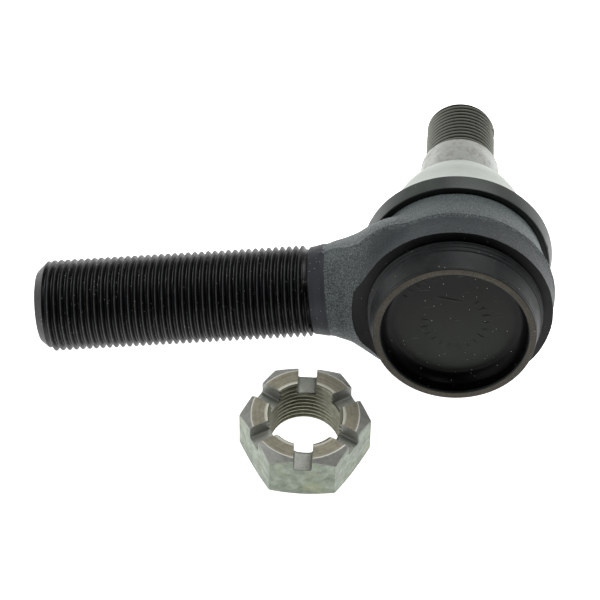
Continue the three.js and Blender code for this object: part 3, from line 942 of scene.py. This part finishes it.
def boot_clamp_ring():
    """The black band: a slightly flared hoop with rounded edges, a seam and a flash nub."""
    outline = rounded([
        (28.0, 9.6), (28.3, 9.5), (28.75, 9.55), (29.2, 12.2), (29.65, 14.7), (29.3, 14.9), (28.1, 14.9),
    ], 0.25)
    piece = turned("boot_clamp_ring", outline, 240, ring=True)
    points = points_of(piece)
    angle = np.arctan2(points[:, 1], points[:, 0])
    radius = np.hypot(points[:, 0], points[:, 1])
    outer = np.clip((radius - 28.4) / 0.4, 0, 1)
    seam = -0.12 * np.exp(-((angle + math.radians(95)) / 0.006) ** 2)
    nub = 0.5 * np.exp(-((angle + math.radians(8)) / 0.02) ** 2) * np.exp(-((points[:, 2] - 10.4) / 0.7) ** 2)
    wobble = 0.05 * np.sin(7 * angle) * np.sin(3 * angle + 1)
    grow = 1 + outer * (seam + nub + wobble) / radius
    points[:, :2] *= grow[:, None]
    move_points(piece, points)
    place(piece, JOINT, [band_black()])
    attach(piece, "housing")
    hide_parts("boot_clamp_ring")


# ---------------------------------------------------------------- castle nut


def castle_nut():
    """Hexagon with a bevelled top, six slots and a right-hand internal thread."""
    corner = NUT_FLATS / 2 / math.cos(math.pi / 6)
    bearing = 1.7
    corner_height = NUT_HEIGHT - NUT_CORNER_DROP
    piece = turned("castle_nut", [(0, 0), (corner, 0), (corner, NUT_HEIGHT), (0, NUT_HEIGHT)], 6)
    bevels = turned("bevels", [
        (0, 0), (corner - 2 * bearing, 0), (corner, bearing), (corner + 0.01, corner_height),
        (NUT_FACE_RADIUS, NUT_HEIGHT), (0, NUT_HEIGHT),
    ], 144)
    combine(piece, bevels, "INTERSECT")
    for k in range(NUT_SLOTS // 2):
        slot = slot_bar(3 * corner)
        slot.data.transform(Matrix.Rotation(k * 2 * math.pi / NUT_SLOTS, 4, "Z"))
        combine(piece, slot, "DIFFERENCE")
    tap = threaded("tap", NUT_CREST, NUT_ROOT, STUD_PITCH, -1, NUT_HEIGHT + 1,
                   lambda heights: np.full_like(heights, NUT_CREST), segments=84)
    combine(piece, tap, "DIFFERENCE")
    sinks = turned("sinks", [
        (0, -1), (NUT_CREST + 1.3, -1), (NUT_ROOT - 0.6, 1.5), (NUT_ROOT - 0.6, NUT_HEIGHT - 1.3),
        (NUT_CREST + 0.9, NUT_HEIGHT + 1), (0, NUT_HEIGHT + 1),
    ], 144)
    combine(piece, sinks, "DIFFERENCE")
    place(piece, NUT, [nut_steel(), nut_turned(), nut_bevel(), nut_thread()], 24)
    paint_nut(piece, corner_height)
    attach(piece, "castle_nut")
    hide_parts("castle_nut")


def slot_bar(length):
    """A bar across the nut whose lower edges are slightly rounded."""
    half = NUT_SLOT_WIDTH / 2
    floor = NUT_HEIGHT - NUT_SLOT_DEPTH
    section = rounded([(-half, NUT_HEIGHT + 2), (-half, floor), (half, floor), (half, NUT_HEIGHT + 2)], 0.7)
    rows = [[(x, y, z) for x, z in section] for y in (-length / 2, length / 2)]
    count = len(section)
    faces = [(i, (i + 1) % count, count + (i + 1) % count, count + i) for i in range(count)]
    faces += [tuple(range(count)), tuple(range(2 * count - 1, count - 1, -1))]
    bar = mesh_object("slot", rows[0] + rows[1], faces)
    edit = bmesh.new()
    edit.from_mesh(bar.data)
    bmesh.ops.recalc_face_normals(edit, faces=edit.faces)
    edit.to_mesh(bar.data)
    edit.free()
    return bar


def paint_nut(piece, corner_height):
    """Turned top, oily bevels, rubbed thread, pale flats and slots."""
    to_local = NUT.inverted()
    for face in piece.data.polygons:
        x, y, z = to_local @ face.center
        ring = math.hypot(x, y)
        if ring < NUT_CREST + 0.05:
            face.material_index = 3
        elif z > NUT_HEIGHT - 0.02:
            face.material_index = 1
        elif 0.2 < face.normal.z < 0.95 and z > corner_height - 3:
            face.material_index = 2


# ---------------------------------------------------------------- inner parts kept from the frame


def dress_inner_parts():
    bearing = hidden_metal("bearing_metal", tone(168, 150, 112), tone(120, 104, 74), 0.4)
    spring = hidden_metal("spring_metal", tone(110, 116, 124), tone(70, 76, 84), 0.34)
    looks = {
        "upper_bearing_shell": bearing,
        "lower_bearing_cup": bearing,
        "preload_spring": spring,
        "boot_neck_ring": spring,
        "cover_seal_ring": seal_rubber(),
    }
    for name, material in looks.items():
        node = frame["nodes"][name]
        node.data.materials.clear()
        node.data.materials.append(material)


# ---------------------------------------------------------------- bench, light and camera


def bench():
    """A plain pale light table. Cameras that look from below see through it."""
    half = 3.0
    floor = mesh_object("bench", [(-half, -half, 0), (half, -half, 0), (half, half, 0), (-half, half, 0)],
                        [(0, 1, 2, 3)])
    material = bpy.data.materials.new("bench_pale")
    material.use_nodes = True
    nodes = material.node_tree.nodes
    links = material.node_tree.links
    shader = nodes["Principled BSDF"]
    shader.inputs["Base Color"].default_value = (0.9, 0.905, 0.9, 1)
    shader.inputs["Roughness"].default_value = 0.8
    shader.inputs["Emission Color"].default_value = (1, 1, 1, 1)
    shader.inputs["Emission Strength"].default_value = 1.25
    clear = nodes.new("ShaderNodeBsdfTransparent")
    side = nodes.new("ShaderNodeNewGeometry")
    mix = nodes.new("ShaderNodeMixShader")
    links.new(side.outputs["Backfacing"], mix.inputs[0])
    links.new(shader.outputs[0], mix.inputs[1])
    links.new(clear.outputs[0], mix.inputs[2])
    links.new(mix.outputs[0], nodes["Material Output"].inputs["Surface"])
    floor.data.materials.append(material)


def studio_light(toward_camera):
    """White all round, with a dark patch behind the camera, as in a light tent with a lens hole.

    The camera itself sees a plain white backdrop.
    """
    world = bpy.data.worlds.new("light_tent")
    world.use_nodes = True
    bpy.context.scene.world = world
    nodes = world.node_tree.nodes
    links = world.node_tree.links
    sky = nodes["Background"]
    sky.inputs["Color"].default_value = (1, 1, 1, 1)
    direction = nodes.new("ShaderNodeTexCoord")
    dot = nodes.new("ShaderNodeVectorMath")
    dot.operation = "DOT_PRODUCT"
    dot.inputs[1].default_value = toward_camera
    links.new(direction.outputs["Generated"], dot.inputs[0])
    fade = nodes.new("ShaderNodeMapRange")
    fade.interpolation_type = "SMOOTHSTEP"
    fade.inputs["From Min"].default_value = 0.45
    fade.inputs["From Max"].default_value = 0.9
    fade.inputs["To Min"].default_value = 0.3
    fade.inputs["To Max"].default_value = 0.006
    links.new(dot.outputs["Value"], fade.inputs["Value"])
    ray = nodes.new("ShaderNodeLightPath")
    brighter = nodes.new("ShaderNodeMath")
    brighter.operation = "MAXIMUM"
    links.new(fade.outputs[0], brighter.inputs[0])
    links.new(ray.outputs["Is Camera Ray"], brighter.inputs[1])
    links.new(brighter.outputs[0], sky.inputs["Strength"])


def softbox(name, azimuth, elevation, distance, size, power, target):
    """A square area light that faces the target."""
    light = bpy.data.lights.new(name, "AREA")
    light.energy = power
    light.size = size
    lamp = bpy.data.objects.new(name, light)
    bpy.context.scene.collection.objects.link(lamp)
    away = direction_of(azimuth, elevation)
    lamp.location = target + away * distance
    lamp.rotation_mode = "QUATERNION"
    lamp.rotation_quaternion = away.to_track_quat("Z", "Y")


def direction_of(azimuth, elevation):
    """Unit vector towards a viewer at this azimuth and elevation; azimuth 0 looks along +Y."""
    a, e = math.radians(azimuth), math.radians(elevation)
    return Vector((math.sin(a) * math.cos(e), -math.cos(a) * math.cos(e), math.sin(e)))


def camera():
    """Long lens from the front, high above the bench, aimed between the eye and the shank."""
    azimuth, elevation, roll = 0.733, 52.46, 1.11
    distance = 0.8987
    target = EYE_CENTRE + Vector((-0.0479, -0.0087, 0.0))
    data = bpy.data.cameras.new("camera")
    data.sensor_width = 36.0
    data.lens = 175.9
    away = direction_of(azimuth, elevation)
    eye = bpy.data.objects.new("camera", data)
    bpy.context.scene.collection.objects.link(eye)
    eye.location = target + away * distance
    eye.rotation_mode = "QUATERNION"
    spin = Quaternion((0, 0, 1), math.radians(roll))
    eye.rotation_quaternion = away.to_track_quat("Z", "Y") @ spin
    bpy.context.scene.camera = eye
    return away


housing()
ball_stud()
cover_plate()
dust_boot()
boot_clamp_ring()
castle_nut()
dress_inner_parts()
bench()
toward_camera = camera()
studio_light(toward_camera)
softbox("overhead", 150, 62, 1.2, 0.9, 9, EYE_CENTRE)
softbox("left", -75, 30, 1.4, 1.4, 5, EYE_CENTRE)
bpy.context.scene.view_settings.view_transform = "Standard"
